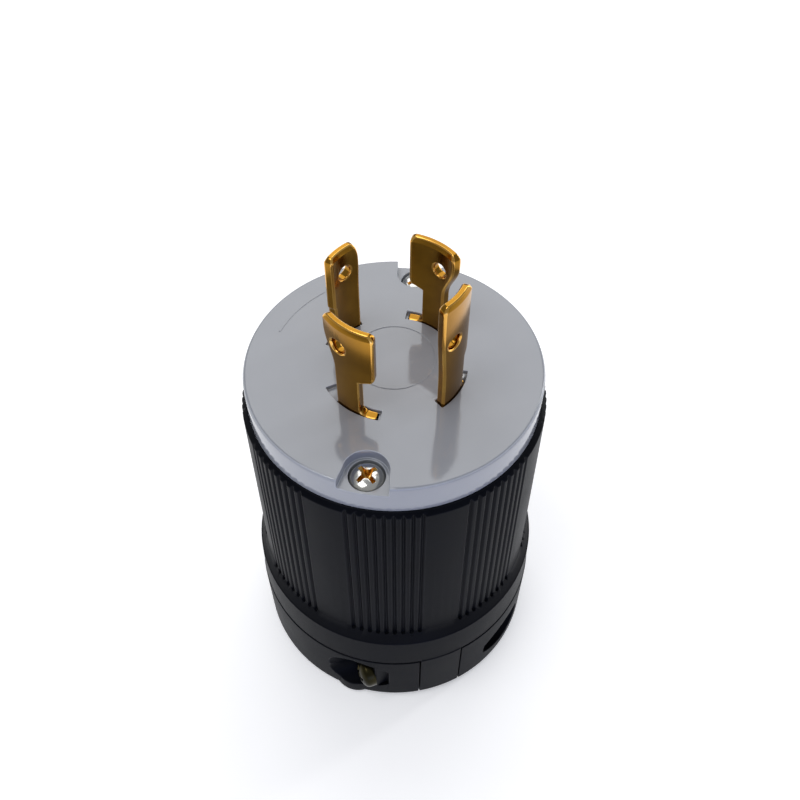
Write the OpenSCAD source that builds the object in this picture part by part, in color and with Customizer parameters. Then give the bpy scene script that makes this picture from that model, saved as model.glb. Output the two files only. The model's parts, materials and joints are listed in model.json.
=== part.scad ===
// Four-blade locking power plug for a round heavy-duty cord.
// Millimetres. +Z points from the cord end to the blades; Z = 0 is the flat cord end.
// The two guide posts of the shell lie on -Y and +Y; the cord clamp halves slide along X.

/* [Body] */
// Diameter of the light front face
face_d = 50.8; // [49:0.1:52]
// Height of the light rim above the shell
rim_h = 6.1; // [5:0.1:8]
// Diameter of the ribbed barrel under the rim
barrel_d = 52.8; // [52:0.1:54]
// Diameter of the ribbed barrel at the shoulder
barrel_low_d = 53.7; // [53:0.1:55]
// Height of the ribbed barrel
barrel_h = 41.1; // [36:0.1:55]
// Height of the sloping shoulder
shoulder_h = 2.9; // [2:0.1:5]
// Diameter of the collar at its upper edge
collar_d = 56.6; // [56:0.1:58]
// Height of the collar below the shoulder
collar_h = 8.2; // [6:0.1:12]
// Diameter of the cord end
base_d = 57.4; // [57:0.1:60]
// Height of the cord clamp section
clamp_h = 17.2; // [15:0.1:22]
// Wall of the shell at the barrel
wall = 2.6; // [2.2:0.1:3]
// Rounding of the edge around the cord end
base_round = 2.1; // [0.8:0.1:2.5]

/* [Grip ribs] */
// Number of rib groups around the barrel
grip_groups = 8; // [4:1:8]
// Grooves in each group
grip_grooves = 9; // [5:1:9]
// Angle from groove to groove, degrees
groove_pitch = 3.42; // [3.2:0.02:3.6]
// Width of a groove at the surface
groove_w = 0.95; // [0.6:0.05:1.2]

/* [Front face] */
// Thickness of the face plate
plate_t = 3.2; // [2.6:0.1:4]
// Depth of the seat around each blade
seat_depth = 0.8; // [0.4:0.1:1.2]
// Angle of the seat around each line blade, degrees
seat_angle = 54; // [52:1:58]
// Depth of the two screw pockets in the face
pocket_depth = 1.9; // [1:0.1:2.4]
// Diameter of the ring that the two assembly screws lie on
screw_ring_d = 43.8; // [42:0.1:44]
// Angle of the first assembly screw, degrees
screw_angle = 60; // [55:1:62]
// Diameter of the raised ring on the face
mark_ring_d = 14.4; // [12:0.1:15]
// Height of the raised lines on the face
mark_h = 0.12; // [0.05:0.01:0.3]

/* [Blades] */
// Mean diameter of the ring of blades
blade_ring_d = 22.9; // [22.5:0.1:24]
// Thickness of the blade sheet
blade_t = 1.63; // [1.4:0.01:1.9]
// Height of the line and neutral blades above the face
blade_h = 18.5; // [17:0.1:22]
// Height of the ground blade above the face
ground_h = 22.2; // [19:0.1:25]
// Height of the locking notch's upper edge above the face
notch_h = 7.4; // [6:0.1:9]
// Angle of the first blade's middle, degrees
blade_angle = 35.4; // [33:0.1:37]
// Diameter of the hole near each blade's tip
blade_hole_d = 2.7; // [2:0.1:3.2]
// Height of that hole above the face
blade_hole_h = 13.7; // [12.5:0.1:14.5]
// Thickness taken off each side of a blade at its tip
tip_t = 0.4; // [0.2:0.05:0.6]
// Height of that bevel
tip_h = 0.9; // [0.5:0.1:1.5]

/* [Terminals] */
// Depth of the terminal lugs below the face
lug_depth = 15; // [14:0.1:18]
// Room between each terminal screw head and the hub
term_room = 0.9; // [0.8:0.1:1.2]
// Diameter of the terminal screw threads
term_screw_d = 4; // [3:0.1:4]
// Diameter of the terminal screw heads
term_head_d = 7.2; // [6:0.1:7.4]
// Room for the wire between lug and clamp plate
wire_gap = 1.4; // [0.8:0.1:2]
// Thickness of the clamp plates
plate_clamp_t = 1.2; // [1:0.1:1.6]

/* [Assembly screws] */
// Diameter of the assembly screw threads
asm_screw_d = 3; // [2.6:0.1:3.2]
// Diameter of the assembly screw heads
asm_head_d = 5.7; // [5:0.1:6]
// Height of the assembly screw heads
asm_head_h = 2.3; // [1.8:0.1:2.6]
// Length of the brass inserts
insert_h = 8; // [6:0.1:9]

/* [Cord clamp] */
// Width of the guide posts between the clamp halves
post_w = 8.5; // [7:0.1:10]
// Distance of the clamp screws from the middle plane
clamp_screw_y = 23.1; // [22.6:0.1:23.6]
// Height of the clamp screws above the cord end
clamp_screw_z = 8; // [7.6:0.1:9]
// Diameter of the clamp screw threads
clamp_screw_d = 3.5; // [3.2:0.1:3.6]
// Diameter of the clamp screw heads
clamp_head_d = 6.4; // [6:0.1:6.6]
// Height of the clamp screw heads
clamp_head_h = 3; // [2.4:0.1:3.2]
// Distance of the head seats from the middle plane
clamp_seat_x = 13.2; // [12.6:0.1:13.4]
// Distance of the nut seats from the middle plane
nut_seat_x = 7.4; // [7:0.1:8]
// Width of the clamp nuts across their flats
nut_af = 6; // [5.6:0.1:6.2]
// Thickness of the clamp nuts
nut_h = 3.2; // [2.6:0.1:3.6]
// Diameter of the cord opening with the halves together
cord_d = 19; // [16:0.1:20]
// Travel of each clamp half
clamp_travel = 1.5; // [0.5:0.1:1.8]
// Gap between the clamp halves when they are together
clamp_split = 1.2; // [0.8:0.1:2]
// Opening of the cord seal
seal_bore_d = 18; // [15:0.1:20]

/* [Clearances] */
// Gap between sliding plastic faces
slide_gap = 0.3; // [0.2:0.05:0.4]
// Gap around pieces that are dropped in place
drop_gap = 0.25; // [0.15:0.05:0.4]
// Gap around a screw in a plain hole, on the radius
hole_gap = 0.25; // [0.15:0.05:0.35]
// Gap of a thread in its nut or insert, on the radius
thread_gap = 0.05; // [0.02:0.01:0.08]

/* [Hidden] */
$fn = 96;
EPS = 0.01;

// Heights
z_shell = clamp_h;                        // lower edge of the shell
z_collar = z_shell + collar_h;            // upper edge of the collar
z_barrel = z_collar + shoulder_h;         // foot of the ribbed barrel
z_rim = z_barrel + barrel_h;              // top of the shell, under the light rim
z_face = z_rim + rim_h;                   // front face
z_plate = z_face - plate_t;               // underside of the face plate

// Radii
face_r = face_d / 2;
base_r = base_d / 2;
bore_r = barrel_d / 2 - wall;             // main bore of the shell
spigot_r = bore_r - drop_gap;             // outside of the face's spigot
spigot_t = 1.9;                           // its wall
floor_t = 4;                              // floor of the shell at the cord end
seal_hole_r = seal_bore_d / 2 + 4;        // hole in that floor
ledge_h = 3;                              // ledge that carries the terminal block

// Blades, each with [clockwise stem, clockwise head, counter-clockwise stem,
// counter-clockwise head] as distances across the sheet at its middle thickness
blade_r = blade_ring_d / 2;
blade_out = blade_r + blade_t / 2;
blade_in = blade_r - blade_t / 2;
line_w = [-2.7, -4.9, 1.8, 4.25];
neutral_w = [-4.29, -4.42, 1.7, 2];
ground_w = [-2.86, -3.4, 2.55, 3.45];
foot_drop = 0.2;                          // top of a blade's foot below the face
a_line_y = blade_angle;
a_neutral = blade_angle + 90;
a_line_x = blade_angle + 180;
a_ground = blade_angle + 270;
blade_angles = [a_line_y, a_neutral, a_line_x, a_ground];
// Where a line or neutral blade's head widens from its stem, above the locking notch
taper_low = 1.2;
taper_high = 8.4;
seat_gap = 0.17;                          // gap between a blade and the walls of its seat
// Where the seat around each blade begins and ends, seen from the blade's middle
line_seat = [-seat_angle / 2 - 1.9, seat_angle / 2 - 1.9];
neutral_seat = [-20, 16];
ground_seat = [-15.5, 27];

// Terminals, between the hub and the ring of the terminal block
hub_r = blade_in - slide_gap;
term_r = hub_r + term_head_d / 2 + term_room;   // radius of the terminal screws' places
term_head_h = 2.4;
z_lug = z_face - lug_depth;               // upper side of the lugs
lug_end = term_r + term_head_d / 2 + drop_gap;
z_wire = z_lug - blade_t - wire_gap;      // upper side of the clamp plates
z_screw_t = z_wire - plate_clamp_t;       // underside of the clamp plates, on the screw heads

// Terminal block
hub_wall = 2.4;
block_wall = 1.8;                         // thickness of a barrier
barrier_r = spigot_r - spigot_t - 2 * slide_gap;        // its reach inside the face's spigot
block_ring_out = bore_r - drop_gap;       // ring below the spigot, in the shell's bore
block_ring_in = block_ring_out - 1.4;
block_z = z_screw_t - term_head_h - 4.2;  // its lower end, on the ledge
ring_h = 6;                               // height of the block's ring

// Assembly screws
boss_wall = 2.1;
boss_r = asm_screw_d / 2 + boss_wall;
boss_len = 10.3;
z_boss = z_plate - boss_len;              // joint between the face's and the shell's bosses
spigot_rise = 0.6;                        // the spigot ends this far above that joint
head_proud = 0.6;                         // a screw head's height above its pocket's floor
z_head = z_face - pocket_depth - asm_head_h + head_proud;
pocket_half = 9.45;                       // half angle of a pocket's walls
pocket_c = screw_ring_d / 2 + 0.3;        // middle of a pocket's round end
pocket_r = pocket_c * sin(pocket_half) + 0.06;
insert_wall = 1.1;
insert_r = asm_screw_d / 2 + insert_wall;
blind_len = 3;                            // hole below each insert
asm_len = z_head - z_boss + insert_h + blind_len / 2;

// Cord seal
flange_w = 2;                             // its flange beyond the hole in the floor
flange_h = 1.8;
seal_lip = 0.4;                           // drop of its sharp inner lip

// Cord clamp
z_clamp = clamp_h - slide_gap;            // upper side of the clamp halves
post_in = clamp_screw_y - clamp_screw_d / 2 - 1.9;      // inner side of the posts
grip_h = 1.6;                             // height of a groove in the cord opening
grip_depth = 0.9;
grip_pitch = 4;
clamp_skin = 2.8;                         // wall and floor of a clamp half
inner_y = post_in - 4.6;                  // half length of its hollow
bore_clamp_r = 3.8;                       // bore outside the clamp screws' heads and nuts
recess_h = 5.2;                           // half height of the pointed recess over each head
recess_z = z_clamp - 1.2 - recess_h;      // its middle
recess_r = (bore_clamp_r * bore_clamp_r + recess_h * recess_h) / (2 * bore_clamp_r);
tail_y = clamp_screw_y + clamp_screw_d / 2 + hole_gap + 0.5;   // floor of its shallow tail
tail_x = nut_seat_x + nut_h;              // where the tail begins
lip_out = 0.45;                           // rounded lip under each recess
clamp_len = clamp_seat_x + nut_seat_x + nut_h * 0.6 + 2 * clamp_travel;   // still in its nut when open
groove_depth = groove_w / 2;

// ---- shared shapes ----

// Domed screw, head up, its seat at the origin, with a cross recess
module screw(d, len, head_d, head_h) {
    r = head_d / 2;
    cross = head_d * 0.62;
    difference() {
        union() {
            rotate_extrude()
                polygon(concat([[0, 0], [r, 0], [r, head_h * 0.45]],
                    [for (a = [20 : 14 : 90]) [r * cos(a), head_h * (0.45 + 0.55 * sin(a))]],
                    [[0, head_h]]));
            translate([0, 0, -len]) cylinder(h = len + EPS, d = d);
            translate([0, 0, -len - d / 4]) cylinder(h = d / 4, d1 = d / 2, d2 = d);
        }
        for (a = [0, 90]) rotate(a)
            translate([-cross / 2, -cross / 8, head_h * 0.35]) cube([cross, cross / 4, head_h]);
        translate([0, 0, head_h * 0.3]) cylinder(h = head_h, r1 = cross / 8, r2 = cross / 3);
    }
}

// Sector of a ring
module arc_ring(r_in, r_out, z0, z1, a0, a1) {
    rotate(a0) rotate_extrude(angle = a1 - a0)
        translate([r_in, z0]) square([r_out - r_in, z1 - z0]);
}

// Solid inside the cord end's rounded outline, from Z = 0 up to top
module base_solid(top) {
    rotate_extrude()
        polygon(concat([[0, 0], [base_r - base_round, 0]],
            [for (a = [-75 : 15 : 0]) [base_r - base_round + base_round * cos(a),
                                       base_round + base_round * sin(a)]],
            [[base_r, top], [0, top]]));
}

// ---- front ----

module pocket_2d() {
    translate([pocket_c, 0]) circle(r = pocket_r);
    polygon([for (p = [[pocket_c - 0.3, 1], [face_r + 4, 1], [face_r + 4, -1], [pocket_c - 0.3, -1]])
             [p[0], p[1] * p[0] * tan(pocket_half)]]);
}

module front_face() {
    edge = 0.6;
    color([0.64, 0.66, 0.69]) difference() {
        union() {
            rotate_extrude() polygon([[0, z_plate], [spigot_r - spigot_t, z_plate],
                [spigot_r - spigot_t, z_boss + spigot_rise], [spigot_r, z_boss + spigot_rise],
                [spigot_r, z_rim], [face_r, z_rim],
                [face_r, z_face - edge], [face_r - 0.18, z_face - 0.18],
                [face_r - edge, z_face], [0, z_face]]);
            for (a = [0, 180]) rotate(screw_angle + a)
                intersection() {
                    translate([screw_ring_d / 2, 0, z_boss]) cylinder(h = z_face - z_boss - 1, r = boss_r);
                    translate([0, 0, z_boss - 1]) cylinder(h = z_face - z_boss, r = spigot_r - spigot_t / 2);
                }
            // raised ring and raised arc on the face
            rotate(70.9) translate([1.4, 0, z_face - 0.5]) difference() {
                cylinder(h = mark_h + 0.5, d = mark_ring_d);
                translate([0, 0, -1]) cylinder(h = mark_h + 2, d = mark_ring_d - 0.6);
            }
            arc_ring(face_r - 4.45, face_r - 4.15, z_face - 0.5, z_face + mark_h, 107.5, 141);
        }
        for (a = [0, 180]) rotate(screw_angle + a) {
            translate([0, 0, z_face - pocket_depth]) linear_extrude(height = 5) pocket_2d();
            translate([screw_ring_d / 2, 0, z_head]) cylinder(h = 10, r = (asm_head_d + hole_gap) / 2);
            translate([screw_ring_d / 2, 0, z_boss - 1]) cylinder(h = 30, r = asm_screw_d / 2 + hole_gap);
        }
        blade_opening(a_line_x, line_w, line_seat);
        blade_opening(a_line_y, line_w, line_seat);
        blade_opening(a_neutral, neutral_w, neutral_seat);
        blade_opening(a_ground, ground_w, ground_seat);
    }
}

// Angle of a distance across a blade's sheet
function turn(x) = asin(x / blade_r);

// Seat around one blade, and the slot it stands in
module blade_opening(a, w, seat) {
    arc_ring(blade_in - seat_gap, blade_out + seat_gap, z_face - seat_depth, z_face + 1,
        a + seat[0], a + seat[1]);
    arc_ring(blade_in - hole_gap / 2, blade_out + hole_gap / 2, z_plate - 1, z_face + 1,
        a + turn(w[0] - hole_gap / 2), a + turn(w[3] + hole_gap / 2));
}

// What is cut from a blade at a radial plane: x across the sheet from that plane, y above the face
function smooth(t) = t * t * (3 - 2 * t);
function corner_cut(s, rx, ry, h) = concat([[-s, h - ry - 0.6]],
    [for (t = [15 : 15 : 75]) [s * rx * (1 - cos(t)), h - ry * (1 - sin(t))]],
    [[s * rx, h + EPS], [s * rx, h + 2], [-s, h + 2]]);
function notch_cut(x, r, f) = let (z0 = notch_h + 0.3 + 1.25 * r) concat(
    [[0, notch_h]], [for (t = [-60 : 15 : -15]) [x - r + r * cos(t), z0 + r * sin(t)]],
    [[x + 1, z0 + 1.2], [x + 5, z0 + 1.2], [x + 5, -foot_drop]],
    [for (t = [90 : -15 : 0]) [f * (1 - cos(t)), f * (1 - sin(t)) - foot_drop]]);
function taper_cut(x, f0, f1) = concat([[0, -plate_t - 0.15], [0, f0]],
    [for (i = [1 : 7]) [x * smooth(i / 8), f0 + (f1 - f0) * i / 8]],
    [[x - 0.3, f1 + 0.6], [x - 5, f1 + 0.6], [x - 5, -plate_t - 0.15]]);

module cut_at(a, shape) {
    rotate(a) translate([blade_in * 0.5, 0, z_face]) rotate([90, 0, 90])
        linear_extrude(height = blade_out) polygon(shape);
}

// A blade: a sheet rolled to the ring, stamped, with its lug bent outwards under the face
module blade(a, w, h, hole_x, f0 = notch_h + taper_low, f1 = notch_h + taper_high, round_c = [1.2, 1.5]) {
    mid = (w[1] + w[3]) / 2;
    wid = w[3] - w[1];
    step = blade_r * sin(turn(w[3]) - turn(w[2]));
    color([0.72, 0.52, 0.22]) difference() {
        union() {
            difference() {
                rotate(a + turn(w[1])) rotate_extrude(angle = turn(w[3]) - turn(w[1]))
                    polygon([[blade_in, z_lug - blade_t], [blade_out, z_lug - blade_t],
                        [blade_out, z_face + h - tip_h], [blade_out - tip_t, z_face + h],
                        [blade_in + tip_t, z_face + h], [blade_in, z_face + h - tip_h]]);
                cut_at(a + turn(w[1]), corner_cut(1, round_c[0], round_c[1], h));
                cut_at(a + turn(w[3]), corner_cut(-1, 1.1, 1.3, h));
                cut_at(a + turn(w[2]), notch_cut(step, min(1.3, step), min(1.2, step)));
                cut_at(a + turn(w[0]), taper_cut(-blade_r * sin(turn(w[0]) - turn(w[1])), f0, f1));
            }
            rotate(a) translate([blade_in + 0.4, w[1] + 0.5, z_lug - blade_t])
                cube([lug_end - blade_in - 0.4, wid - 1, blade_t]);
        }
        rotate(a + turn(hole_x)) translate([0, 0, z_face + blade_hole_h]) rotate([0, 90, 0])
            cylinder(h = blade_out * 2, d = blade_hole_d);
        rotate(a) translate([term_r, mid, z_lug - 10])
            cylinder(h = 20, r = term_screw_d / 2 + thread_gap);
    }
}

module line_blade_x() { blade(a_line_x, line_w, blade_h, -1.65); }
module line_blade_y() { blade(a_line_y, line_w, blade_h, -1.65); }
module neutral_blade() { blade(a_neutral, neutral_w, blade_h, -1.3, round_c = [1.6, 3.6]); }
module ground_blade() { blade(a_ground, ground_w, ground_h, -0.95, 5, 17); }

// Square plate that presses a wire against a lug
module wire_clamp(a, w) {
    side = term_head_d;
    color([0.78, 0.78, 0.76]) rotate(a) translate([term_r, (w[1] + w[3]) / 2, z_screw_t])
        difference() {
            translate([-side / 2, -side / 2, 0]) cube([side, side, plate_clamp_t]);
            translate([0, 0, -1]) cylinder(h = plate_clamp_t + 2, r = term_screw_d / 2 + hole_gap);
        }
}

module wire_clamp_x() { wire_clamp(a_line_x, line_w); }
module wire_clamp_y() { wire_clamp(a_line_y, line_w); }
module wire_clamp_n() { wire_clamp(a_neutral, neutral_w); }
module wire_clamp_g() { wire_clamp(a_ground, ground_w); }

module terminal_screw(a, w, tint) {
    color(tint) rotate(a) translate([term_r, (w[1] + w[3]) / 2, z_screw_t])
        rotate([180, 0, 0]) screw(term_screw_d, z_lug - z_screw_t + 1.4, term_head_d, term_head_h);
}

module terminal_screw_x() { terminal_screw(a_line_x, line_w, [0.75, 0.58, 0.28]); }
module terminal_screw_y() { terminal_screw(a_line_y, line_w, [0.75, 0.58, 0.28]); }
module terminal_screw_n() { terminal_screw(a_neutral, neutral_w, [0.8, 0.8, 0.8]); }
module terminal_screw_g() { terminal_screw(a_ground, ground_w, [0.3, 0.6, 0.35]); }

// Insulating block: a hub behind the blades and a barrier between every two terminals
module terminal_block() {
    color([0.2, 0.2, 0.22]) difference() {
        union() {
            translate([0, 0, block_z]) cylinder(h = z_plate - block_z, r = hub_r);
            translate([0, 0, z_boss - ring_h]) difference() {
                cylinder(h = ring_h + slide_gap, r = block_ring_out);
                translate([0, 0, -1]) cylinder(h = ring_h + 2, r = block_ring_in);
            }
            for (a = blade_angles) rotate(a + 45) {
                translate([hub_r - 2, -block_wall / 2, block_z])
                    cube([barrier_r - hub_r + 2, block_wall, z_plate - block_z]);
                translate([barrier_r - 1, -block_wall / 2, block_z])
                    cube([block_ring_out - barrier_r + 0.7, block_wall, z_boss - block_z - 1]);
            }
        }
        translate([0, 0, block_z - hub_wall])
            cylinder(h = z_plate - block_z, r = hub_r - hub_wall);
        for (a = [0, 180]) rotate(screw_angle + a)
            translate([screw_ring_d / 2, 0, 0]) cylinder(h = z_face, r = boss_r + slide_gap);
    }
}

// ---- shell ----

module grip_grooves() {
    tilt = atan2((barrel_low_d - barrel_d) / 2, barrel_h);
    for (g = [0 : grip_groups - 1], k = [0 : grip_grooves - 1])
        rotate(90 + (g + 0.5) * 360 / grip_groups + (k - (grip_grooves - 1) / 2) * groove_pitch)
            translate([barrel_low_d / 2, 0, z_barrel]) rotate([0, -tilt, 0])
                translate([0, 0, -0.7]) rotate(45)
                    translate([-groove_depth * sqrt(2) / 2, -groove_depth * sqrt(2) / 2, 0])
                        cube([groove_depth * sqrt(2), groove_depth * sqrt(2), barrel_h + 0.4]);
}

module outer_shell() {
    lip = 0.8;
    color([0.14, 0.145, 0.155]) {
        difference() {
            union() {
                difference() {
                    rotate_extrude() polygon([[seal_hole_r, z_shell], [base_r - 0.12, z_shell],
                        [collar_d / 2, z_collar], [collar_d / 2 - 0.25, z_collar + 0.25],
                        [barrel_low_d / 2, z_barrel], [barrel_d / 2, z_rim - lip],
                        [barrel_d / 2 - lip, z_rim], [bore_r, z_rim],
                        [bore_r, block_z], [bore_r - 2.8, block_z],
                        [bore_r - 2.8, block_z - ledge_h], [bore_r - 0.8, block_z - ledge_h - 2],
                        [bore_r - 0.8, z_shell + floor_t + 2], [bore_r - 2.8, z_shell + floor_t],
                        [seal_hole_r, z_shell + floor_t]]);
                    grip_grooves();
                }
                // bosses for the brass inserts
                for (a = [0, 180]) rotate(screw_angle + a) intersection() {
                    translate([screw_ring_d / 2, 0, block_z - ledge_h + 1])
                        cylinder(h = z_boss - slide_gap - block_z + ledge_h - 1, r = boss_r);
                    translate([0, 0, block_z - ledge_h])
                        cylinder(h = z_boss, r = bore_r + 0.9);
                }
                // guide posts between the clamp halves
                for (s = [-1, 1]) {
                    intersection() {
                        base_solid(z_shell);
                        translate([-post_w / 2, s > 0 ? post_in : -post_in - 20, 0])
                            cube([post_w, 20, z_shell]);
                    }
                    translate([-post_w / 2, s > 0 ? post_in : 3 - base_r, z_shell - 1])
                        cube([post_w, base_r - 3 - post_in, 2]);
                }
            }
            for (a = [0, 180]) rotate(screw_angle + a) translate([screw_ring_d / 2, 0, 0]) {
                translate([0, 0, z_boss - insert_h]) cylinder(h = 20, r = insert_r);
                translate([0, 0, z_boss - insert_h - blind_len])
                    cylinder(h = 20, r = asm_screw_d / 2 + hole_gap);
            }
            for (s = [-1, 1]) translate([-post_w, s * clamp_screw_y, clamp_screw_z]) rotate([0, 90, 0])
                cylinder(h = 2 * post_w, r = clamp_screw_d / 2 + hole_gap);
        }
    }
}

module shell_inserts() {
    color([0.8, 0.65, 0.3]) for (a = [0, 180]) rotate(screw_angle + a)
        translate([screw_ring_d / 2, 0, z_boss - insert_h]) difference() {
            cylinder(h = insert_h - slide_gap, r = insert_r);
            translate([0, 0, -1]) cylinder(h = insert_h + 2, r = asm_screw_d / 2 + thread_gap);
        }
}

module assembly_screw(a) {
    color([0.82, 0.82, 0.84]) rotate(screw_angle + a) translate([screw_ring_d / 2, 0, z_head])
        rotate(35) screw(asm_screw_d, asm_len, asm_head_d, asm_head_h);
}

module assembly_screw_a() { assembly_screw(0); }
module assembly_screw_b() { assembly_screw(180); }

// Flanged rubber ring that seals around the cord
module cord_seal() {
    z0 = z_shell + drop_gap;
    zf = z_shell + floor_t;
    color([0.1, 0.1, 0.1]) rotate_extrude() polygon([[seal_bore_d / 2, z0],
        [seal_hole_r - drop_gap, z0], [seal_hole_r - drop_gap, zf], [seal_hole_r + flange_w, zf],
        [seal_hole_r + flange_w, zf + flange_h], [seal_bore_d / 2 + flange_w, zf + flange_h],
        [seal_bore_d / 2, zf - seal_lip]]);
}

// ---- cord clamp ----

// One clamp half, on -X. Its head seat is on -Y and its nut seat on +Y.
module clamp_half() {
    far = base_r + 5;
    difference() {
        union() {
            intersection() {
                base_solid(z_clamp);
                translate([-far, -far, -1]) cube([far - clamp_split / 2, 2 * far, clamp_h + 2]);
            }
            rotate(180 + asin(clamp_screw_y / base_r) - 2) translate([base_r - 4.8, 0, 0.7])
                cylinder(h = clamp_screw_z - 0.7, r = 4.8 + lip_out);
        }
        // room for the posts
        for (s = [-1, 1])
            translate([-post_w / 2 - slide_gap, s > 0 ? post_in - slide_gap : -post_in + slide_gap - 20, -1])
                cube([20, 20, clamp_h + 2]);
        // opening for the cord, with gripping lands between its grooves
        translate([0, 0, -1]) cylinder(h = clamp_h + 2, d = cord_d);
        for (i = [1 : 3]) translate([0, 0, i * grip_pitch + 0.4])
            cylinder(h = grip_h, d = cord_d + 2 * grip_depth);
        // hollow under the shell
        intersection() {
            translate([0, 0, clamp_skin]) difference() {
                cylinder(h = clamp_h, r = base_r - clamp_skin);
                translate([0, 0, -1]) cylinder(h = clamp_h + 2, r = cord_d / 2 + clamp_skin);
            }
            translate([-far, -inner_y, 0]) cube([far - post_w / 2, 2 * inner_y, clamp_h + 1]);
        }
        for (s = [-1, 1]) translate([-far, s * clamp_screw_y, clamp_screw_z]) rotate([0, 90, 0])
            cylinder(h = far, r = clamp_screw_d / 2 + hole_gap);
        head_recess(clamp_seat_x, far);
        intersection() {
            head_recess(tail_x, far);
            translate([-far, -far, 0]) cube([far, far - tail_y, z_shell]);
        }
        translate([-far, clamp_screw_y, clamp_screw_z]) rotate([0, 90, 0])
            cylinder(h = far - tail_x, r = bore_clamp_r);
        translate([-nut_seat_x - nut_h - 0.5, clamp_screw_y, clamp_screw_z]) rotate([0, 90, 0])
            cylinder(h = nut_h + 0.5, r = nut_af / sqrt(3) + hole_gap / 2, $fn = 6);
    }
}

// Bore for a screw head on -X and -Y, from x0 outwards, with a pointed recess over it
module head_recess(x0, far) {
    translate([-far, -clamp_screw_y, 0]) rotate([0, 90, 0]) {
        translate([-clamp_screw_z, 0, 0]) cylinder(h = far - x0, r = bore_clamp_r);
        intersection_for(s = [-1, 1])
            translate([-recess_z, s * (recess_r - bore_clamp_r), 0]) cylinder(h = far - x0, r = recess_r);
    }
}

module cord_clamp_left() { color([0.15, 0.155, 0.165]) clamp_half(); }
module cord_clamp_right() { color([0.15, 0.155, 0.165]) rotate(180) clamp_half(); }

module clamp_screw() {
    color([0.8, 0.8, 0.82]) translate([-clamp_seat_x, -clamp_screw_y, clamp_screw_z]) rotate([0, -90, 0])
        rotate(20) screw(clamp_screw_d, clamp_len - clamp_screw_d / 4, clamp_head_d, clamp_head_h);
}

// Hexagonal nut in the seat on +X and -Y
module clamp_nut() {
    color([0.8, 0.8, 0.82]) translate([nut_seat_x, -clamp_screw_y, clamp_screw_z]) rotate([0, 90, 0])
        difference() {
            rotate(180) cylinder(h = nut_h, r = nut_af / sqrt(3), $fn = 6);
            translate([0, 0, -1]) cylinder(h = nut_h + 2, r = clamp_screw_d / 2 + thread_gap);
        }
}

module clamp_screw_front() { clamp_screw(); }
module clamp_screw_back() { rotate(180) clamp_screw(); }
module clamp_nut_front() { clamp_nut(); }
module clamp_nut_back() { rotate(180) clamp_nut(); }

front_face();
line_blade_x();
line_blade_y();
neutral_blade();
ground_blade();
terminal_block();
wire_clamp_x();
wire_clamp_y();
wire_clamp_n();
wire_clamp_g();
terminal_screw_x();
terminal_screw_y();
terminal_screw_n();
terminal_screw_g();
outer_shell();
shell_inserts();
assembly_screw_a();
assembly_screw_b();
cord_seal();
cord_clamp_left();
cord_clamp_right();
clamp_screw_front();
clamp_screw_back();
clamp_nut_front();
clamp_nut_back();
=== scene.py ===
# %% [markdown]
# # A locking power plug, dressed in Blender
# The solids of the plug come from its CAD model and stay where they are. This lesson gives each of
# them the edges and the finish of the real thing. The blades and the screws are made again, the
# screws with a cross recess and a ridged shank. Every length is in metres, in the frame of the CAD
# model: +Z points from the cord end to the blades.

# %% Load the packed model
import json
from math import asin, cos, pi, radians, sin
import bmesh
import bpy
from mathutils import Matrix, Vector

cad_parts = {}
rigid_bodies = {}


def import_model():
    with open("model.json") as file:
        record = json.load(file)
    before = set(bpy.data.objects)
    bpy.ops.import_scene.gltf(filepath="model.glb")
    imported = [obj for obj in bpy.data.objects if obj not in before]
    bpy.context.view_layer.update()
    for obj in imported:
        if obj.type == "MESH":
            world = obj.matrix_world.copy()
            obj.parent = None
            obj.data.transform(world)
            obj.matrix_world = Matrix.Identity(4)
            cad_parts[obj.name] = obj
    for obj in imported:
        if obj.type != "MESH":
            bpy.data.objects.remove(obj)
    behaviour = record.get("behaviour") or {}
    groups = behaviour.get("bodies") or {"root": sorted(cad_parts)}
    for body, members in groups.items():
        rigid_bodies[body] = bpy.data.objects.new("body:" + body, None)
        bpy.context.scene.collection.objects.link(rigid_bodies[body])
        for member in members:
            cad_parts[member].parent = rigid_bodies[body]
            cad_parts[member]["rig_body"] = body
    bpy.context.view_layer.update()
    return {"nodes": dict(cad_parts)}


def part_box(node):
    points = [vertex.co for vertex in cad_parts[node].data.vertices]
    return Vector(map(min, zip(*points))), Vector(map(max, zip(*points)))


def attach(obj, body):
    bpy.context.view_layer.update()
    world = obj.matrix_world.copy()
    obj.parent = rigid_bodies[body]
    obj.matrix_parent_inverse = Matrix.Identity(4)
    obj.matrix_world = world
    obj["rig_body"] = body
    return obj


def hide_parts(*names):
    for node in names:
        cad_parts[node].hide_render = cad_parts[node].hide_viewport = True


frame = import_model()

MM = 0.001

# %% [markdown]
# ## Camera
# The camera looks down on the blades at 51 degrees, from the side of the front clamp screw. It is
# close to the plug, about 16 cm, so the cord end looks clearly smaller than the face.

# %% Camera
VIEW_TURN, VIEW_RISE, VIEW_DISTANCE = radians(-19.1), radians(51.206), 156.33 * MM
aim = Vector((0.936, -0.324, 65.47)) * MM
towards_camera = Vector((sin(VIEW_TURN) * cos(VIEW_RISE), -cos(VIEW_TURN) * cos(VIEW_RISE),
                         sin(VIEW_RISE)))
camera = bpy.data.objects.new("camera", bpy.data.cameras.new("camera"))
camera.location = aim + towards_camera * VIEW_DISTANCE
camera.rotation_euler = (-towards_camera).to_track_quat("-Z", "Y").to_euler()
camera.data.lens, camera.data.sensor_width = 39.75, 36.0
camera.data.clip_start, camera.data.clip_end = 0.005, 20.0
bpy.context.scene.collection.objects.link(camera)
bpy.context.scene.camera = camera
print("camera, mm:", [round(x / MM, 1) for x in camera.location])

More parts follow.
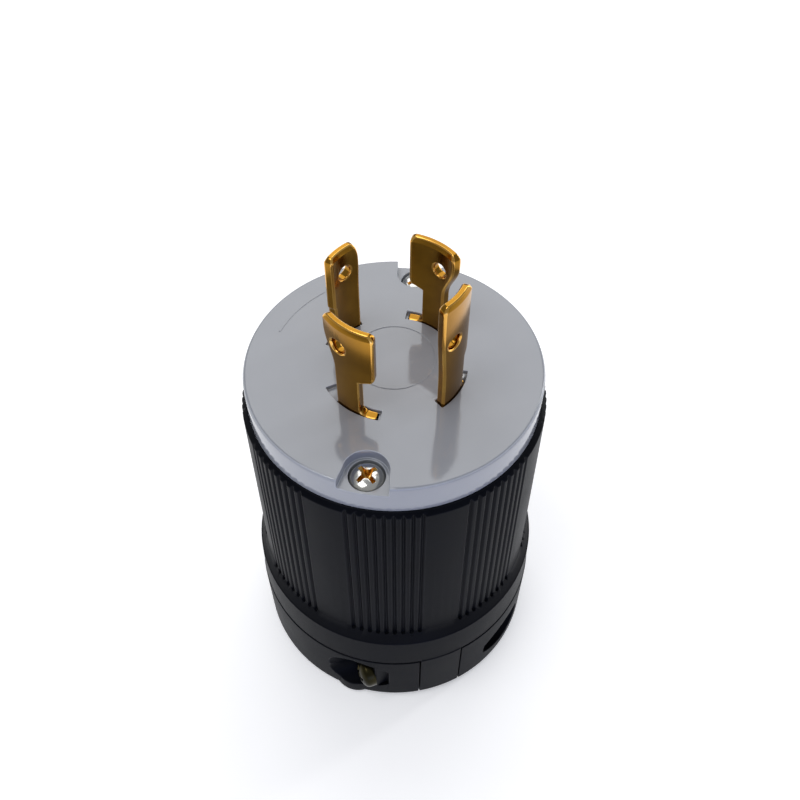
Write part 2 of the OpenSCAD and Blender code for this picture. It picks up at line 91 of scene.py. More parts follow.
# %% [markdown]
# ## Light
# A small glossy product is lit by what it reflects. One large soft box overhead makes the face
# bright, a smaller panel on the left helps it, a tall strip on the right draws the light line along
# the barrel, and a weak blue panel in front fills the rim. The room itself is a plain pale grey.

# %% Soft studio light
def soft_box(name, place, target, width, height, watts, colour=(1, 1, 1)):
    """A rectangular area light at place, facing target."""
    lamp = bpy.data.lights.new(name, "AREA")
    lamp.shape, lamp.size, lamp.size_y = "RECTANGLE", width, height
    lamp.energy, lamp.color = watts, colour
    holder = bpy.data.objects.new(name, lamp)
    holder.location = place
    holder.rotation_euler = (Vector(target) - Vector(place)).to_track_quat("-Z", "Y").to_euler()
    bpy.context.scene.collection.objects.link(holder)
    return holder


middle = (0, 0, 60 * MM)
soft_box("overhead_box", (0.20, 0.56, 0.80), middle, 0.9, 0.9, 4.0)
soft_box("left_panel", (-0.25, -0.05, 0.70), middle, 0.3, 0.3, 1.1)
soft_box("right_strip", (0.50, 0.10, 0.22), middle, 0.05, 0.5, 0.5)
soft_box("front_fill", (-0.10, -0.60, 0.12), middle, 0.5, 0.2, 0.8, (0.36, 0.46, 1.0))

room = bpy.data.worlds.new("pale_room")
room.use_nodes = True
room.node_tree.nodes["Background"].inputs["Color"].default_value = (0.95, 0.97, 1.0, 1)
room.node_tree.nodes["Background"].inputs["Strength"].default_value = 0.36
bpy.context.scene.world = room
bpy.context.scene.view_settings.view_transform = "Standard"

# %% [markdown]
# ## Writing shader maths
# A shader is a little calculation for every point of a surface. Node by node it is long to write,
# so one class wraps a socket, and plus, minus, times and the rest each add a Math node. Its method
# `node` adds any other node. The same class works in Geometry Nodes, whose Math nodes are the same.

# %% A class for sockets
class Wire:
    """One output socket of a node tree; arithmetic with it adds Math nodes."""

    def __init__(self, tree, socket=None):
        self.tree, self.socket = tree, socket

    def node(self, kind, settings=None, inputs=None, output=0):
        """Adds a node: first its settings, then the values or links of its sockets."""
        made = self.tree.nodes.new(kind)
        for name, value in (settings or {}).items():
            setattr(made, name, value)
        for name, value in (inputs or {}).items():
            for one in value if isinstance(value, list) else [value]:
                if isinstance(one, Wire):
                    self.tree.links.new(one.socket, made.inputs[name])
                else:
                    made.inputs[name].default_value = one
        return Wire(self.tree, made.outputs[output])

    def maths(self, operation, first, second=0.0):
        return self.node("ShaderNodeMath", {"operation": operation}, {0: first, 1: second})

    def __add__(self, other): return self.maths("ADD", self, other)
    def __radd__(self, other): return self.maths("ADD", other, self)
    def __sub__(self, other): return self.maths("SUBTRACT", self, other)
    def __rsub__(self, other): return self.maths("SUBTRACT", other, self)
    def __mul__(self, other): return self.maths("MULTIPLY", self, other)
    def __rmul__(self, other): return self.maths("MULTIPLY", other, self)
    def __truediv__(self, other): return self.maths("DIVIDE", self, other)
    def __pow__(self, other): return self.maths("POWER", self, other)
    def __gt__(self, other): return self.maths("GREATER_THAN", self, other)

    def rise(self, low, high):
        """0 below low, 1 above high, smooth between."""
        return self.node("ShaderNodeMapRange", {"interpolation_type": "SMOOTHSTEP"},
                         {"Value": self, "From Min": low, "From Max": high})

    def tint(self, dark, light):
        """The colour dark where this is 0 and light where it is 1."""
        return self.node("ShaderNodeMix", {"data_type": "RGBA"}, {0: self, 6: dark, 7: light}, 2)


def paint(red, green, blue):
    """A colour as a screen shows it, 0 to 255, in the linear values that shaders use."""
    return tuple((c / 255 / 12.92) if c < 10 else ((c / 255 + 0.055) / 1.055) ** 2.4
                 for c in (red, green, blue)) + (1.0,)


def noise(here, size, detail=3.0, stretch=(1, 1, 1), roughness=0.5):
    """Cloudy noise whose spots are about size across, in metres; stretch lengthens it per axis."""
    scaled = here.node("ShaderNodeMapping", {}, {"Vector": here,
                       "Scale": tuple(1 / (size * s) for s in stretch)})
    return here.node("ShaderNodeTexNoise", {}, {"Vector": scaled, "Scale": 1.0, "Detail": detail,
                     "Roughness": roughness})


def material(name, recipe, **constants):
    """A material: recipe(here) gives what varies, constants are set on the shader itself."""
    made = bpy.data.materials.new(name)
    made.use_nodes = True
    tree = made.node_tree
    shader = tree.nodes["Principled BSDF"]
    here = Wire(tree).node("ShaderNodeTexCoord", output="Object")
    varying = recipe(here)
    height, depth = varying.pop("bump")
    varying["Normal"] = here.node("ShaderNodeBump", {}, {"Height": height, "Strength": 1.0,
                                  "Distance": depth})
    for socket, value in varying.items():
        tree.links.new(value.socket, shader.inputs[socket])
    for socket, value in constants.items():
        shader.inputs[socket.replace("_", " ")].default_value = value
    return made


print("a wire has", len([m for m in vars(Wire) if m.startswith("__")]), "operators and names")

# %% [markdown]
# ## Finishes
# Moulded nylon copies the steel of its mould: the face was polished, the shell was left with a fine
# matt grain. Neither is perfectly even, so slow noise shifts colour and gloss a little, and fine
# noise makes the grain. Edges get their own material, painted paler as a highlight along them.

# %% Plastics
def face_recipe(here):
    cloud, ripple, dust = noise(here, 9 * MM, 2), noise(here, 3 * MM, 3), noise(here, 0.25 * MM, 2)
    scratch = noise(here, 0.5 * MM, 2, (14, 1, 1)).rise(0.62, 0.7)
    return {"Base Color": cloud.tint(paint(141, 144, 151), paint(150, 153, 160)),
            "Roughness": 0.075 + cloud * 0.03 + scratch * 0.04 + dust.rise(0.68, 0.74) * 0.12,
            "bump": (ripple * 0.6 + scratch * 0.1, 0.02 * MM)}


def matt_recipe(dark, light, roughness, grain_size=0.16 * MM, grain_depth=0.012 * MM):
    """Moulded matt plastic: cloudy colour, fine grain, a few pale dust specks."""
    def recipe(here):
        cloud, grain = noise(here, 7 * MM, 3), noise(here, grain_size, 3)
        speck = noise(here, 0.35 * MM, 1).rise(0.76, 0.80)
        return {"Base Color": (cloud * 0.8 + speck * 0.9).tint(dark, light),
                "Roughness": roughness + cloud * 0.10 + grain * 0.08,
                "bump": (grain, grain_depth)}
    return recipe


face_nylon = material("face_nylon", face_recipe, IOR=1.53, Specular_IOR_Level=0.85)
# Painted highlight: the face's edge material is its nylon painted paler along the rounded edges.
face_edge_highlight = material("face_edge_highlight", matt_recipe(paint(160, 164, 171), paint(184, 188, 195), 0.12),
                     IOR=1.53)
DARK_GLOSS = {"Specular_IOR_Level": 0.03}
BLACK_NYLON = paint(8, 9, 13), paint(17, 19, 25)
shell_nylon = material("shell_nylon", matt_recipe(*BLACK_NYLON, 0.30), **DARK_GLOSS)
# Painted highlight: the shell's edge material is the black nylon painted paler, so the rounded
# edges and ribs show light lines; the cord clamp uses it too.
shell_edge_highlight = material("shell_edge_highlight", matt_recipe(paint(12, 13, 16), paint(30, 32, 38), 0.26),
                      **DARK_GLOSS)
clamp_nylon = material("clamp_nylon", matt_recipe(*BLACK_NYLON, 0.33), **DARK_GLOSS)
block_plastic = material("block_plastic", matt_recipe(paint(30, 30, 33), paint(52, 52, 55), 0.42),
                         IOR=1.55)
seal_rubber = material("seal_rubber", matt_recipe(paint(20, 20, 21), paint(34, 34, 35), 0.62,
                       0.4 * MM, 0.03 * MM), IOR=1.50)

# %% [markdown]
# The blades are stamped from rolled brass sheet. Rolling leaves fine lines along the blade, which
# stretched noise draws in gloss and height, and handling leaves a faint brown tarnish in clouds.
# The stamped edge is coined round, its colour painted brighter as a highlight. Screws are steel
# with
# a thin zinc coat that was passivated: bright silver, amber in the cross recess.

# %% Metals
def metal_recipe(deep, bright, roughness, line_size=0.12 * MM, along=(1, 1, 40), depth=0.003 * MM,
                 uneven=0.08):
    """Worked metal: lines along one axis, tarnish in clouds, small dents."""
    def recipe(here):
        lines = noise(here, line_size, 3, along)
        stain = noise(here, 6 * MM, 3, roughness=0.4).rise(0.3, 0.7)
        pits = noise(here, 0.3 * MM, 2).rise(0.74, 0.8)
        return {"Base Color": (stain * 0.8 + lines * 0.2).tint(deep, bright),
                "Roughness": roughness + lines * uneven + (1 - stain) * uneven + pits * 0.1,
                "bump": (lines - pits * 0.6, depth)}
    return recipe


blade_brass = material("blade_brass", metal_recipe(paint(144, 102, 32), paint(176, 127, 42), 0.13,
                       0.10 * MM, (1, 1, 60), 0.0012 * MM, 0.02), Metallic=1.0)
# Painted highlight: the coined edges take brass painted much brighter than the blade's own.
brass_edge_highlight = material("brass_edge_highlight", metal_recipe(paint(214, 158, 74), paint(242, 190, 96), 0.12,
                      0.10 * MM, (1, 1, 60), 0.001 * MM, 0.02), Metallic=1.0)
turned_brass = material("turned_brass", metal_recipe(paint(205, 165, 95), paint(228, 192, 120), 0.2,
                        0.1 * MM, (30, 30, 1)), Metallic=1.0)
screw_zinc = material("screw_zinc", metal_recipe(paint(196, 194, 184), paint(222, 222, 220), 0.10,
                      0.2 * MM, (20, 20, 1)), Metallic=1.0)
amber_zinc = material("amber_zinc", metal_recipe(paint(165, 125, 58), paint(215, 178, 105), 0.14,
                      0.2 * MM, (1, 1, 20)), Metallic=1.0)
# Painted shade: the clamp screws' olive zinc is painted nearly black, because their heads sit in
# shade in the shell's recesses.
olive_zinc_painted_shade = material("olive_zinc_painted_shade", metal_recipe(paint(30, 29, 20), paint(66, 60, 36), 0.22,
                      0.2 * MM, (1, 20, 20)), Metallic=1.0)
plate_steel = material("plate_steel",
                       metal_recipe(paint(180, 180, 176), paint(208, 208, 204), 0.24), Metallic=1.0)
green_steel = material("green_steel", metal_recipe(paint(60, 120, 70), paint(90, 158, 100), 0.22),
                       Metallic=0.9)
print(len(bpy.data.materials), "finishes")

# %% [markdown]
# ## Dressing a solid
# A CAD solid has perfectly sharp edges, which no moulded or stamped part has, and only a rounded
# edge catches light. The piece is a copy of the solid with its doubled corners merged and its flat
# triangles joined, and a Bevel modifier rounds every edge that turns more than an angle. The bevel
# faces take the second material, painted paler as a highlight along the edges. A Weighted Normal
# modifier keeps the large faces flat in the light.

# %% Dressed copies
def every_edge(edge):
    """Each edge of a moulded part is rounded alike."""
    return 1.0


def merged_copy(node, angle, weight):
    """The CAD node's mesh with doubles merged and flat regions joined into single faces.
    Edges that turn more than angle get a bevel weight, from weight(edge)."""
    work = bmesh.new()
    work.from_mesh(frame["nodes"][node].data)
    bmesh.ops.remove_doubles(work, verts=work.verts, dist=0.003 * MM)
    bmesh.ops.dissolve_limit(work, angle_limit=radians(0.6), verts=work.verts, edges=work.edges)
    layer = work.edges.layers.float.new("bevel_weight_edge")
    for edge in work.edges:
        if edge.is_manifold and edge.calc_face_angle() > radians(angle):
            edge[layer] = weight(edge)
    mesh = bpy.data.meshes.new(node + "_dressed")
    work.to_mesh(mesh)
    work.free()
    return mesh


def round_edges(piece, width, segments, edge_slot):
    """Adds the Bevel modifier that rounds the piece's weighted edges by width."""
    bevel = piece.modifiers.new("rounded_edges", "BEVEL")
    bevel.limit_method, bevel.use_clamp_overlap = "WEIGHT", False
    bevel.width, bevel.segments, bevel.material = width, segments, edge_slot
    bevel.miter_outer = "MITER_ARC"


def smooth(piece):
    """Shades the piece smooth, with its large faces kept flat in the light."""
    piece.data.shade_smooth()
    normals = piece.modifiers.new("flat_faces", "WEIGHTED_NORMAL")
    normals.keep_sharp, normals.weight = True, 80


def stand_for(piece, node):
    """Puts the piece in the CAD node's place, on the same body."""
    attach(piece, frame["nodes"][node]["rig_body"])
    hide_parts(node)
    return piece


def shown(name, mesh, materials):
    """An object in the scene for a mesh, with its materials."""
    piece = bpy.data.objects.new(name, mesh)
    bpy.context.scene.collection.objects.link(piece)
    for one in materials:
        mesh.materials.append(one)
    return piece


def dress(node, materials, width, angle=32, weight=every_edge):
    """A dressed piece that stands for the CAD node."""
    piece = shown(node + "_piece", merged_copy(node, angle, weight), materials)
    round_edges(piece, width, 2, len(materials) - 1)
    smooth(piece)
    print(node, len(piece.data.polygons), "faces before its edges are rounded")
    return stand_for(piece, node)


# %% [markdown]
# Moulded edges are round by 0.1 to 0.2 mm. The raised lines on the face are
# only 0.12 mm high, too low for that, so a rule leaves them as they are.

# %% Face, shell, cord clamp and block
BLADE_HEIGHT = 18.5 * MM
FACE_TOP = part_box("line_blade_x")[1].z - BLADE_HEIGHT
LEVEL_WITHIN = 0.01 * MM


def not_the_marks(edge):
    """The face's fine raised lines stay crisp; its other edges are rounded."""
    height = (edge.verts[0].co.z + edge.verts[1].co.z) / 2 - FACE_TOP
    raised = height > LEVEL_WITHIN or (abs(height) < LEVEL_WITHIN and not edge.is_convex)
    return 0.0 if raised else 1.0


dress("front_face", [face_nylon, face_edge_highlight], 0.12 * MM, weight=not_the_marks)
dress("outer_shell", [shell_nylon, shell_edge_highlight], 0.10 * MM, 28)
for node in ("cord_clamp_left", "cord_clamp_right"):
    dress(node, [clamp_nylon, shell_edge_highlight], 0.16 * MM)
dress("terminal_block", [block_plastic], 0.2 * MM)

# %% [markdown]
# ## Blades
# A blade is stamped from flat sheet, its edges are coined in the same press, and then it is rolled
# to the ring that the four blades share. Making it the same way gives the mesh clean edges: the
# outline and its hole are filled flat and given the sheet's thickness, a Bevel modifier coins the
# edges while everything is still at right angles, and only then is the sheet cut into narrow
# strips and bent. The long edges are pressed almost half round, the level ones less.

# %% Stamping a sheet
def sweep(middle, reach, start, end, steps=8):
    """Points of an ellipse's arc, from angle start to end in degrees."""
    turns = [radians(start + (end - start) * i / steps) for i in range(steps + 1)]
    return [(middle[0] + reach[0] * cos(t), middle[1] + reach[1] * sin(t)) for t in turns]


def stamp(outline, hole, thickness, edge_width, materials):
    """A flat sheet in the XZ plane with a round hole (x, z, radius) and coined edges, as a mesh."""
    work = bmesh.new()
    x, z, radius = hole
    for loop in (outline, sweep((x, z), (radius, radius), 0, 345, 23)):
        corners = [work.verts.new((a, -thickness / 2, b)) for a, b in loop]
        for first, second in zip(corners, corners[1:] + corners[:1]):
            work.edges.new((first, second))
    bmesh.ops.triangle_fill(work, edges=work.edges, use_beauty=True)
    bmesh.ops.dissolve_limit(work, angle_limit=radians(0.5), verts=[], edges=work.edges)
    out = bmesh.ops.extrude_face_region(work, geom=work.faces, use_keep_orig=True)
    for item in out["geom"]:
        if isinstance(item, bmesh.types.BMVert):
            item.co.y = thickness / 2
    bmesh.ops.recalc_face_normals(work, faces=work.faces)
    layer = work.edges.layers.float.new("bevel_weight_edge")
    for edge in work.edges:
        level = edge.verts[0].co.y * edge.verts[1].co.y > 0
        if level and edge.calc_face_angle(0) > radians(60):
            upright = (edge.verts[1].co - edge.verts[0].co).normalized().z ** 2
            edge[layer] = 0.5 + 0.5 * upright
    mesh = bpy.data.meshes.new("flat_sheet")
    work.to_mesh(mesh)
    work.free()
    sheet = shown("flat_sheet", mesh, materials)
    round_edges(sheet, edge_width, 5, 1)
    graph = bpy.context.evaluated_depsgraph_get()
    coined = bpy.data.meshes.new_from_object(sheet.evaluated_get(graph), depsgraph=graph)
    bpy.data.objects.remove(sheet)
    return coined


# %% [markdown]
# The four sheets differ in a few widths only, so one outline serves them all. Each is listed with
# its place on the ring, its widths (stem and head on one side, then on the other), its height, the
# heights between which its head narrows to the stem, the rounding of its upper corner, and the
# place of its hole.

# %% Rolling it to the ring
RING, SHEET, LUG_DEPTH = 11.45 * MM, 1.63 * MM, 15 * MM
COINED_EDGE, LUG_EDGE, STRIP = 0.42 * MM, 0.25 * MM, 0.35 * MM
HOLE_HEIGHT, HOLE_RADIUS, LUG_HOLE_RADIUS = 13.7 * MM, 1.35 * MM, 2.05 * MM
TIP_THINNING, TIP_HEIGHT = 0.49, 0.9 * MM
NOTCH, FOOT_TOP, FOOT_BACK = 7.4 * MM, -0.2 * MM, -3.35 * MM


def blade_outline(widths, height, taper, corner):
    """The stamped outline of a blade: x across the sheet, z above the face."""
    stem_c, head_c, stem_d, head_d = (RING * asin(w * MM / RING) for w in widths)
    step = head_d - stem_d
    bend, fillet = min(1.3 * MM, step), min(1.2 * MM, step)
    turn_z = NOTCH + 0.3 * MM + 1.25 * bend
    low, high = (t * MM for t in taper)
    ease = [i / 12 for i in range(12, -1, -1)]
    wide, tall = (c * MM for c in corner)
    return [(head_c, -LUG_DEPTH - SHEET), (head_d, -LUG_DEPTH - SHEET), (head_d, FOOT_TOP),
            *sweep((stem_d + fillet, FOOT_TOP + fillet), (fillet, fillet), 270, 180),
            (stem_d, NOTCH),
            *sweep((head_d - bend, turn_z), (bend, bend), -60, 0),
            *sweep((head_d - 1.1 * MM, height - 1.3 * MM), (1.1 * MM, 1.3 * MM), 0, 90),
            *sweep((head_c + wide, height - tall), (wide, tall), 90, 180),
            *((stem_c + (head_c - stem_c) * t * t * (3 - 2 * t), low + (high - low) * t)
              for t in ease),
            (stem_c, FOOT_BACK), (head_c, FOOT_BACK)]


def rolled(mesh, height, angle):
    """Cuts the sheet into narrow strips and bends it to the ring at that angle."""
    work = bmesh.new()
    work.from_mesh(mesh)
    cuts = [((x * STRIP, 0, 0), (1, 0, 0)) for x in range(-15, 15)]
    for place, across in cuts + [((0, 0, height - TIP_HEIGHT), (0, 0, 1))]:
        bmesh.ops.bisect_plane(work, geom=work.verts[:] + work.edges[:] + work.faces[:], dist=1e-7,
                               plane_co=place, plane_no=across)
    for corner in work.verts:
        x, y, z = corner.co
        thin = 1 - TIP_THINNING * min(1, max(0, (z - height + TIP_HEIGHT) / TIP_HEIGHT))
        reach, turn = RING + y * thin, x / RING + angle
        corner.co = reach * cos(turn), reach * sin(turn), z + FACE_TOP
    return work


def lug(widths, angle, materials):
    """The terminal lug under the face, bent outwards, with the hole for its screw."""
    lowest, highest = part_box("terminal_screw_x")
    screw = (lowest + highest) / 2
    reach = (screw.x ** 2 + screw.y ** 2 - (LINE_MIDDLE * MM) ** 2) ** 0.5
    near, far = RING - 0.4 * MM, reach + 3.85 * MM
    half = (widths[3] - widths[1]) / 2 * MM - 0.5 * MM
    centre = (widths[1] + widths[3]) / 2 * MM
    corner = 1 * MM
    outline = [(centre - half, near), (centre + half, near),
               *sweep((centre + half - corner, far - corner), (corner, corner), 0, 90),
               *sweep((centre - half + corner, far - corner), (corner, corner), 90, 180)]
    flat = stamp(outline, (centre, reach, LUG_HOLE_RADIUS), SHEET, LUG_EDGE, materials)
    lug_middle = FACE_TOP - LUG_DEPTH - SHEET / 2
    upright = Matrix(((0, 0, 1, 0), (1, 0, 0, 0), (0, 1, 0, lug_middle), (0, 0, 0, 1)))
    flat.transform(Matrix.Rotation(angle, 4, "Z") @ upright)
    return flat


LINE_WIDTHS = (-2.7, -4.9, 1.8, 4.25)
NEUTRAL_WIDTHS, GROUND_WIDTHS = (-4.29, -4.42, 1.7, 2.0), (-2.86, -3.4, 2.55, 3.45)
LINE_MIDDLE = (LINE_WIDTHS[1] + LINE_WIDTHS[3]) / 2
GROUND_HEIGHT = 22.2 * MM
BLADES = {"line_blade_y": (35.4, LINE_WIDTHS, BLADE_HEIGHT, (8.6, 15.8), (1.2, 1.5), -1.65),
          "neutral_blade": (125.4, NEUTRAL_WIDTHS, BLADE_HEIGHT, (8.6, 14.4), (1.6, 3.6), -1.3),
          "line_blade_x": (215.4, LINE_WIDTHS, BLADE_HEIGHT, (8.6, 15.8), (1.2, 1.5), -1.65),
          "ground_blade": (305.4, GROUND_WIDTHS, GROUND_HEIGHT, (5.0, 17.0), (1.2, 1.5), -0.95)}
for node, (turn, widths, height, taper, corner, hole_x) in BLADES.items():
    brass = [blade_brass, brass_edge_highlight]
    hole = (RING * asin(hole_x * MM / RING), HOLE_HEIGHT, HOLE_RADIUS)
    flat = stamp(blade_outline(widths, height, taper, corner), hole, SHEET, COINED_EDGE, brass)
    work = rolled(flat, height, radians(turn))
    work.from_mesh(lug(widths, radians(turn), brass))
    bmesh.ops.recalc_face_normals(work, faces=work.faces)
    mesh = bpy.data.meshes.new(node)
    work.to_mesh(mesh)
    work.free()
    piece = shown(node + "_piece", mesh, brass)
    smooth(piece)
    mesh.set_sharp_from_angle(angle=radians(21))
    stand_for(piece, node)
    print(node, len(mesh.polygons), "faces")

# %% [markdown]
# ## Growing small parts by rule
# A screw follows a rule: a lathed head, a cross cut into it, and a ridge that climbs by one pitch
# each turn. Geometry Nodes can hold that rule once, with the sizes as inputs, and make every screw
# of the plug from it. The result is turned into a plain mesh and moved to where the CAD screw is.

# %% Trees and what grows from them
def new_tree(name, sizes):
    """An empty Geometry Nodes tree and a wire for each named size."""
    tree = bpy.data.node_groups.new(name, "GeometryNodeTree")
    tree.interface.new_socket("Geometry", in_out="OUTPUT", socket_type="NodeSocketGeometry")
    for label, start in sizes.items():
        kind = "NodeSocketInt" if isinstance(start, int) else "NodeSocketFloat"
        tree.interface.new_socket(label, in_out="INPUT", socket_type=kind).default_value = start
    entry = tree.nodes.new("NodeGroupInput")
    return tree, {label: Wire(tree, entry.outputs[label]) for label in sizes}


def end_tree(tree, shape, finish, tinted=None):
    """Ends a tree: real geometry, its finish, and a second finish where the tint mark is set."""
    shape = shape.node("GeometryNodeSetShadeSmooth", {}, {"Geometry": shape, "Shade Smooth": True})
    shape = shape.node("GeometryNodeRealizeInstances", {}, {"Geometry": shape})
    shape = shape.node("GeometryNodeSetMaterial", {}, {"Geometry": shape, "Material": finish})
    if tinted:
        mark = shape.node("GeometryNodeInputNamedAttribute", {"data_type": "FLOAT"},
                          {"Name": "tint"})
        shape = shape.node("GeometryNodeSetMaterial", {},
                           {"Geometry": shape, "Material": tinted, "Selection": mark > 0.5})
    exit_node = tree.nodes.new("NodeGroupOutput")
    tree.links.new(shape.socket, exit_node.inputs["Geometry"])


def moved(shape, rule):
    """Sets each point's place to rule(x, y, z), three wires or numbers."""
    place = shape.node("GeometryNodeInputPosition")
    split = place.node("ShaderNodeSeparateXYZ", {}, {0: place})
    x, y, z = (Wire(shape.tree, split.socket.node.outputs[i]) for i in range(3))
    new = rule(x, y, z)
    joined = place.node("ShaderNodeCombineXYZ", {}, dict(enumerate(new)))
    return shape.node("GeometryNodeSetPosition", {}, {"Geometry": shape, "Position": joined})


def grow(name, tree, sizes, place):
    """A plain mesh object grown from the tree with these sizes, moved by the matrix place."""
    piece = bpy.data.objects.new(name, bpy.data.meshes.new(name))
    bpy.context.scene.collection.objects.link(piece)
    recipe = piece.modifiers.new("recipe", "NODES")
    recipe.node_group = tree
    for item in tree.interface.items_tree:
        if item.item_type == "SOCKET" and item.in_out == "INPUT" and item.name in sizes:
            recipe[item.identifier] = sizes[item.name]
    graph = bpy.context.evaluated_depsgraph_get()
    grown = bpy.data.meshes.new_from_object(piece.evaluated_get(graph), depsgraph=graph)
    piece.modifiers.remove(recipe)
    piece.data = grown
    grown.transform(place)
    print(name, len(grown.polygons), "faces")
    return piece


# %% [markdown]
# The head is a short cylinder whose upper half is domed. A cone and two tapered bars are cut out of
# it, and the faces that the cut leaves keep a mark, so the recess can take its own finish. The
# shank is a cylinder in fine rings, drawn in along a spiral and tapered at its end.

# %% A screw
def turned(wire_x, wire_y):
    """Distance from the axis, and angle round it, of a point."""
    reach = (wire_x * wire_x + wire_y * wire_y) ** 0.5
    return reach, wire_x.maths("ARCTAN2", wire_y, wire_x)


def screw_tree(name, finish, tinted):
    """A pan head screw: its seat is at the origin, its head above, its thread below."""
    tree, size = new_tree(name, {"Head Diameter": 5.7 * MM, "Head Height": 2.3 * MM,
                                 "Thread Diameter": 3.0 * MM, "Pitch": 0.5 * MM, "Length": 19 * MM})
    start = Wire(tree)
    radius, high = size["Head Diameter"] * 0.5, size["Head Height"]
    skirt = high * 0.45
    head = start.node("GeometryNodeMeshCylinder", {"fill_type": "TRIANGLE_FAN"},
                      {"Vertices": 48, "Side Segments": 2, "Fill Segments": 9,
                       "Radius": radius, "Depth": skirt})

    def dome(x, y, z):
        reach, _ = turned(x, y)
        share = reach / radius
        share = share.maths("MAXIMUM", share, 0.001)
        upper = z > 0.0
        curve = (share * (pi / 2)).maths("SINE", share * (pi / 2))
        spread = 1 + upper * (curve / share - 1)
        rise = (share * (pi / 2)).maths("COSINE", share * (pi / 2))
        return x * spread, y * spread, z + skirt * 0.5 + upper * rise * (high - skirt)
    head = moved(head, dome)
    wings = []
    for turn in (0, pi / 2):
        bar = start.node("ShaderNodeCombineXYZ", {}, {0: size["Head Diameter"] * 0.98,
                         1: size["Head Diameter"] * 0.17, 2: high})
        bar = start.node("GeometryNodeMeshCube", {}, {"Size": bar})

        def taper(x, y, z):
            depth = 0.72 + (z / high) * 0.56
            return x * (depth ** 1.5), y * depth, z + high * 0.82
        bar = moved(bar, taper)
        wings.append(bar.node("GeometryNodeTransform", {},
                              {"Geometry": bar, "Rotation": (0, 0, turn)}))
    core = start.node("GeometryNodeMeshCone", {}, {"Vertices": 20, "Radius Top": radius * 0.36,
                      "Radius Bottom": radius * 0.10, "Depth": high})
    core = core.node("GeometryNodeTransform", {}, {"Geometry": core, "Translation":
                     core.node("ShaderNodeCombineXYZ", {}, {2: high * 0.26})})
    cutter = wings[0].node("GeometryNodeJoinGeometry", {}, {"Geometry": [*wings, core]})
    cutter = cutter.node("GeometryNodeStoreNamedAttribute",
                         {"data_type": "FLOAT", "domain": "FACE"},
                         {"Geometry": cutter, "Name": "tint", "Value": 1.0})
    head = head.node("GeometryNodeMeshBoolean", {"operation": "DIFFERENCE", "solver": "EXACT"},
                     {"Mesh 1": head, "Mesh 2": cutter, "Self Intersection": True})

    shank_radius, pitch, length = size["Thread Diameter"] * 0.5, size["Pitch"], size["Length"]
    rings = length / pitch * 8
    rings = rings.node("FunctionNodeFloatToInt", {}, {0: rings})
    shank = start.node("GeometryNodeMeshCylinder", {}, {"Vertices": 20, "Side Segments": rings,
                       "Radius": shank_radius, "Depth": length})

    def thread(x, y, z):
        _, angle = turned(x, y)
        phase = z / pitch - angle / (2 * pi)
        phase = phase.maths("FRACT", phase)
        groove = (phase * 2 - 1).maths("ABSOLUTE", phase * 2 - 1)
        tip = (z + length * 0.5).rise(0.0, 1.2 * MM)
        keep = (1 - groove * 0.19) * (0.55 + 0.45 * tip)
        return x * keep, y * keep, z - length * 0.5 + 0.05 * MM
    shank = moved(shank, thread)
    both = head.node("GeometryNodeJoinGeometry", {}, {"Geometry": [head, shank]})
    end_tree(tree, both, finish, tinted)
    return tree


def along(axis, seat, spin):
    """The matrix that turns +Z to axis, after a spin about it, and puts the origin at seat."""
    turn = Vector(axis).to_track_quat("Z", "Y").to_matrix().to_4x4()
    return Matrix.Translation(seat) @ turn @ Matrix.Rotation(spin, 4, "Z")


def place_screw(node, tree, axis, head_height, thread_diameter, pitch, spin):
    """Grows the screw that stands for a CAD screw; its box gives the place and the lengths."""
    low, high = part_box(node)
    axis = Vector(axis)
    main = max(range(3), key=lambda i: abs(axis[i]))
    across = (main + 1) % 3
    top = high[main] if axis[main] > 0 else low[main]
    seat = (low + high) / 2
    seat[main] = top - axis[main] * head_height
    sizes = {"Head Diameter": high[across] - low[across], "Head Height": head_height,
             "Thread Diameter": thread_diameter, "Pitch": pitch,
             "Length": high[main] - low[main] - head_height}
    piece = grow(node + "_piece", tree, sizes, along(axis, seat, spin))
    bevel = piece.modifiers.new("rounded_edges", "BEVEL")
    bevel.limit_method, bevel.angle_limit = "ANGLE", radians(50)
    bevel.width, bevel.segments = 0.07 * MM, 2
    return stand_for(piece, node)


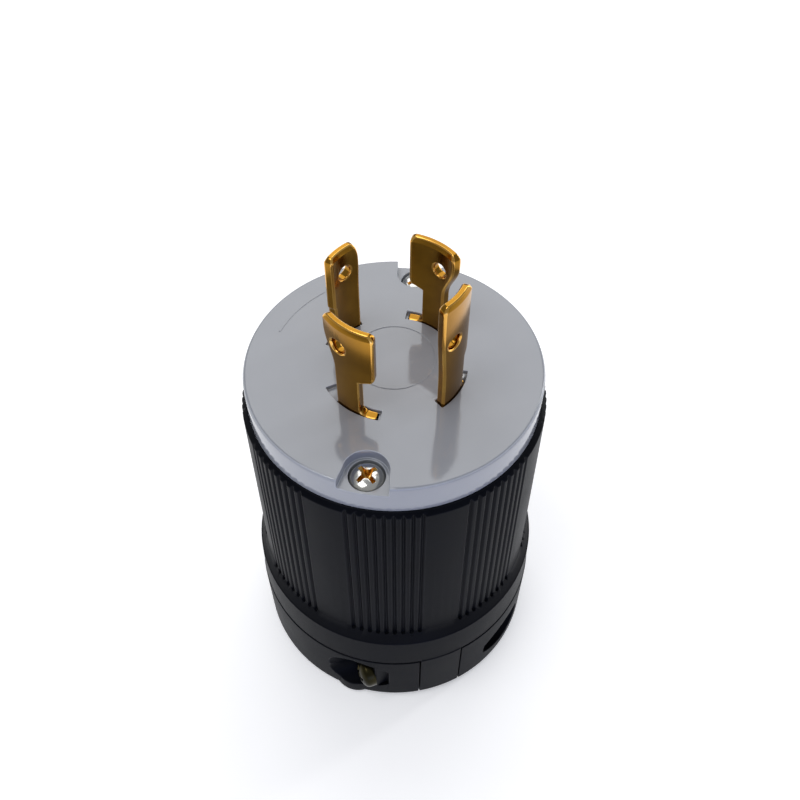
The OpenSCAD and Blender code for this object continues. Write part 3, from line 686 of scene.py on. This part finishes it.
bright_screw = screw_tree("bright_screw", screw_zinc, amber_zinc)
for node, spin in (("assembly_screw_a", 95), ("assembly_screw_b", 20)):
    place_screw(node, bright_screw, (0, 0, 1), 2.3 * MM, 3.0 * MM, 0.5 * MM, radians(spin))
# The clamp screws grow with the olive zinc painted dark as shade.
olive_screw_painted_shade = screw_tree("olive_screw_painted_shade", olive_zinc_painted_shade, olive_zinc_painted_shade)
for node, side in (("clamp_screw_front", -1), ("clamp_screw_back", 1)):
    place_screw(node, olive_screw_painted_shade, (side, 0, 0), 3.0 * MM, 3.5 * MM, 0.6 * MM, radians(20))
brass_screw = screw_tree("brass_screw", turned_brass, turned_brass)
green_screw = screw_tree("green_screw", green_steel, green_steel)
for node, tree, slot in (("terminal_screw_x", brass_screw, "screw_brass"),
                         ("terminal_screw_y", brass_screw, "screw_brass"),
                         ("terminal_screw_n", bright_screw, "screw_zinc"),
                         ("terminal_screw_g", green_screw, "screw_green")):
    place_screw(node, tree, (0, 0, -1), 2.4 * MM, 4.0 * MM, 0.7 * MM, 0.3)

# %% [markdown]
# Small hidden parts keep the shape of their solids and get a finish only. The rubber seal is
# dressed with well rounded edges.

# %% Nuts, clamp plates, inserts and the seal
NODE_FINISH = {"clamp_nut_front": screw_zinc, "clamp_nut_back": screw_zinc,
               "shell_inserts": turned_brass,
               **{"wire_clamp_" + one: plate_steel for one in "xyng"}}
for node, finish in NODE_FINISH.items():
    for holder in frame["nodes"][node].material_slots:
        holder.material = finish
print(len(NODE_FINISH), "solids with a finish only")
dress("cord_seal", [seal_rubber], 0.4 * MM)

# %% [markdown]
# ## Floor
# A large pale floor, just under the cord end.

# %% Floor
bpy.ops.mesh.primitive_circle_add(vertices=96, radius=3.0, fill_type="NGON",
                                  location=(0, 0, -0.3 * MM))
floor = bpy.context.object
floor.name = "floor"
floor_paint = material("floor_paint", matt_recipe(paint(250, 250, 251), paint(253, 253, 253), 0.8,
                       1 * MM, 0.002 * MM), Emission_Color=(1, 1, 1, 1), Emission_Strength=0.36)
floor.data.materials.append(floor_paint)
print("floor, m across:", round(floor.dimensions.x, 2))
